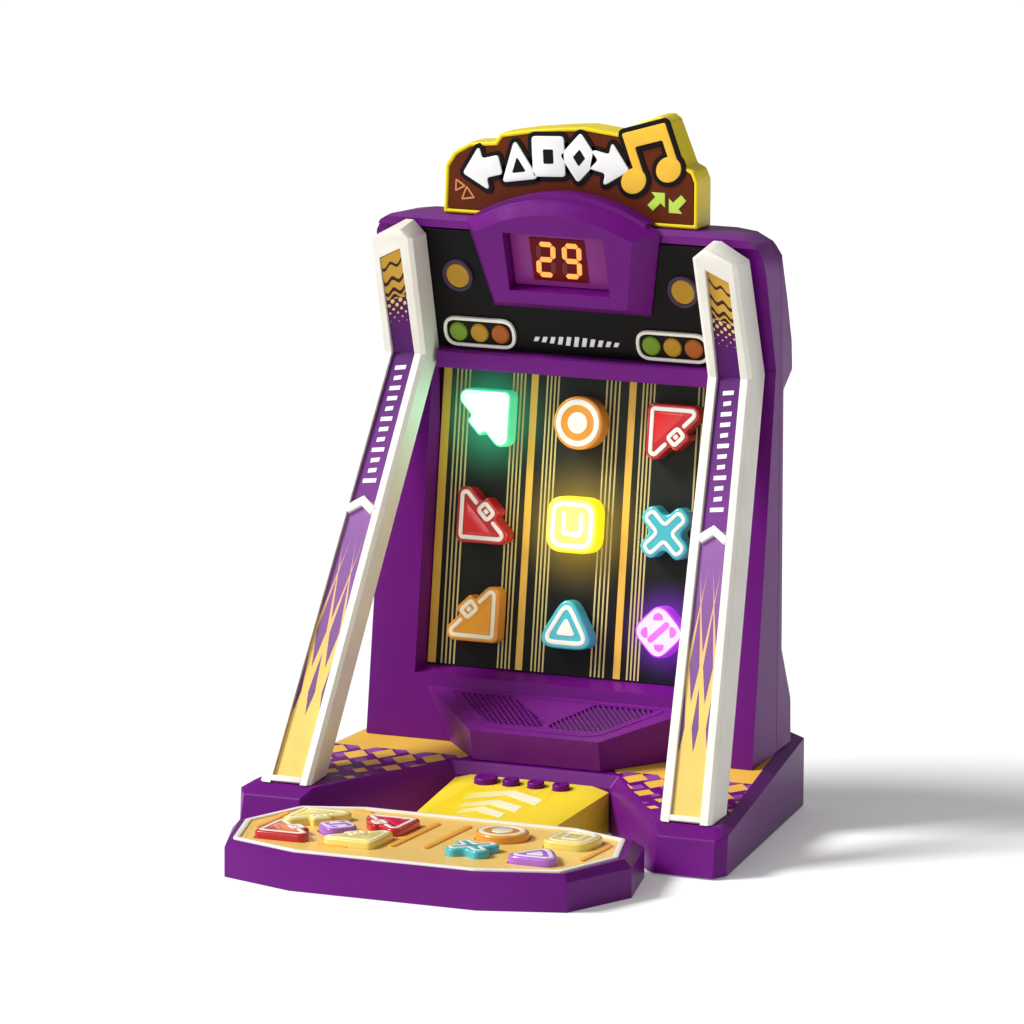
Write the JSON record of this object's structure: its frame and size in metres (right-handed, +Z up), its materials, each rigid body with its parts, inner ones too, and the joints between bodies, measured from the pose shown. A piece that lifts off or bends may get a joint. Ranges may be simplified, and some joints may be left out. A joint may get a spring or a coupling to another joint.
{
  "type": "tabletop dance rhythm machine",
  "caption": "Tabletop dance rhythm machine: a light-up screen tower with a score display and two leaning side rails, played by fingertip on a front control pad with shaped push keys.",
  "frame": {"origin": "centre of the footprint on the table, at the underside of the feet and pad", "axes": "+X to the right as seen by the player, +Y from the player towards the rear of the machine, +Z up"},
  "size_m": [0.22, 0.236, 0.2976],
  "materials": {
    "purple_plastic": "satin moulded ABS",
    "white_plastic": "satin warm white ABS",
    "yellow_plastic": "satin yellow ABS",
    "gold_plate": "printed gold film",
    "black_panel": "printed black film",
    "brown_panel": "printed brown film",
    "black_plastic": "moulded black ABS",
    "rubber": "soft black rubber",
    "circuit_board": "green solder mask",
    "cell_metal": "steel battery can",
    "amber_lens": "tinted translucent plastic",
    "red_lens": "tinted translucent plastic",
    "cyan_lens": "tinted translucent plastic",
    "mint_lens": "tinted translucent plastic, lit",
    "yellow_lens": "tinted translucent plastic, lit",
    "violet_lens": "tinted translucent plastic, lit"
  },
  "bodies": {
    "machine": {"base_bottom_cover": "black_plastic", "base_shell": "purple_plastic", "battery_cell_1": "cell_metal", "battery_cell_2": "cell_metal", "battery_cell_3": "cell_metal", "battery_holder": "black_plastic", "console_board": "circuit_board", "console_shell": "yellow_plastic", "digit_display": "black_panel", "display_housing": "purple_plastic", "foot_front_left": "rubber", "foot_front_right": "rubber", "foot_rear_left": "rubber", "foot_rear_right": "rubber", "lamp_board": "circuit_board", "main_board": "circuit_board", "marquee_panel": "black_panel", "pad_board": "circuit_board", "pad_plate": "gold_plate", "pad_rim": "white_plastic", "pad_shell": "purple_plastic", "rail_insert_left": "gold_plate", "rail_insert_right": "gold_plate", "rail_left": "white_plastic", "rail_right": "white_plastic", "round_lamp_left": "amber_lens", "round_lamp_right": "amber_lens", "screen_lamp_arrow_down_left": "red_lens", "screen_lamp_arrow_down_right": "amber_lens", "screen_lamp_arrow_up_left": "red_lens", "screen_lamp_arrow_up_right": "mint_lens", "screen_lamp_ball": "violet_lens", "screen_lamp_cross": "cyan_lens", "screen_lamp_ring": "amber_lens", "screen_lamp_square": "yellow_lens", "screen_lamp_triangle": "cyan_lens", "screen_panel": "black_panel", "sign_face": "brown_panel", "sign_shell": "yellow_plastic", "signal_bar_left": "white_plastic", "signal_bar_right": "white_plastic", "speaker": "black_plastic", "speaker_shelf": "purple_plastic", "tower_front_shell": "purple_plastic", "tower_rear_shell": "purple_plastic"},
    "pad_key_arrow_front_left_body": {"pad_key_arrow_front_left": "red_lens"},
    "pad_key_arrow_front_right_body": {"pad_key_arrow_front_right": "yellow_lens"},
    "pad_key_arrow_rear_left_body": {"pad_key_arrow_rear_left": "yellow_lens"},
    "pad_key_arrow_rear_right_body": {"pad_key_arrow_rear_right": "red_lens"},
    "pad_key_ball_body": {"pad_key_ball": "violet_lens"},
    "pad_key_cross_body": {"pad_key_cross": "cyan_lens"},
    "pad_key_ring_body": {"pad_key_ring": "amber_lens"},
    "pad_key_square_body": {"pad_key_square": "yellow_lens"},
    "pad_key_triangle_body": {"pad_key_triangle": "violet_lens"},
    "console_button_1_body": {"console_button_1": "purple_plastic"},
    "console_button_2_body": {"console_button_2": "purple_plastic"},
    "console_button_3_body": {"console_button_3": "purple_plastic"},
    "console_button_4_body": {"console_button_4": "purple_plastic"},
    "battery_door": {"battery_cover": "black_plastic"}
  },
  "joints": [
    {"name": "pad_key_arrow_front_left_press", "type": "slide", "parent": "machine", "child": "pad_key_arrow_front_left_body", "axis": [0, 0, -1], "range_m": [0, 0.002], "stiffness_N_per_m": 300, "springref_m": -0.001},
    {"name": "pad_key_arrow_front_right_press", "type": "slide", "parent": "machine", "child": "pad_key_arrow_front_right_body", "axis": [0, 0, -1], "range_m": [0, 0.002], "stiffness_N_per_m": 300, "springref_m": -0.001},
    {"name": "pad_key_arrow_rear_left_press", "type": "slide", "parent": "machine", "child": "pad_key_arrow_rear_left_body", "axis": [0, 0, -1], "range_m": [0, 0.002], "stiffness_N_per_m": 300, "springref_m": -0.001},
    {"name": "pad_key_arrow_rear_right_press", "type": "slide", "parent": "machine", "child": "pad_key_arrow_rear_right_body", "axis": [0, 0, -1], "range_m": [0, 0.002], "stiffness_N_per_m": 300, "springref_m": -0.001},
    {"name": "pad_key_ball_press", "type": "slide", "parent": "machine", "child": "pad_key_ball_body", "axis": [0, 0, -1], "range_m": [0, 0.002], "stiffness_N_per_m": 300, "springref_m": -0.001},
    {"name": "pad_key_cross_press", "type": "slide", "parent": "machine", "child": "pad_key_cross_body", "axis": [0, 0, -1], "range_m": [0, 0.002], "stiffness_N_per_m": 300, "springref_m": -0.001},
    {"name": "pad_key_ring_press", "type": "slide", "parent": "machine", "child": "pad_key_ring_body", "axis": [0, 0, -1], "range_m": [0, 0.002], "stiffness_N_per_m": 300, "springref_m": -0.001},
    {"name": "pad_key_square_press", "type": "slide", "parent": "machine", "child": "pad_key_square_body", "axis": [0, 0, -1], "range_m": [0, 0.002], "stiffness_N_per_m": 300, "springref_m": -0.001},
    {"name": "pad_key_triangle_press", "type": "slide", "parent": "machine", "child": "pad_key_triangle_body", "axis": [0, 0, -1], "range_m": [0, 0.002], "stiffness_N_per_m": 300, "springref_m": -0.001},
    {"name": "console_button_1_press", "type": "slide", "parent": "machine", "child": "console_button_1_body", "axis": [0, 0.0916, -0.9958], "range_m": [0, 0.0015], "stiffness_N_per_m": 300, "springref_m": -0.001},
    {"name": "console_button_2_press", "type": "slide", "parent": "machine", "child": "console_button_2_body", "axis": [0, 0.0916, -0.9958], "range_m": [0, 0.0015], "stiffness_N_per_m": 300, "springref_m": -0.001},
    {"name": "console_button_3_press", "type": "slide", "parent": "machine", "child": "console_button_3_body", "axis": [0, 0.0916, -0.9958], "range_m": [0, 0.0015], "stiffness_N_per_m": 300, "springref_m": -0.001},
    {"name": "console_button_4_press", "type": "slide", "parent": "machine", "child": "console_button_4_body", "axis": [0, 0.0916, -0.9958], "range_m": [0, 0.0015], "stiffness_N_per_m": 300, "springref_m": -0.001},
    {"name": "battery_cover_hinge", "type": "hinge", "parent": "machine", "child": "battery_door", "pos_m": [0.022, 0.0534, 0.0022], "axis": [-1, 0, 0], "range_deg": [0, 100]}
  ]
}
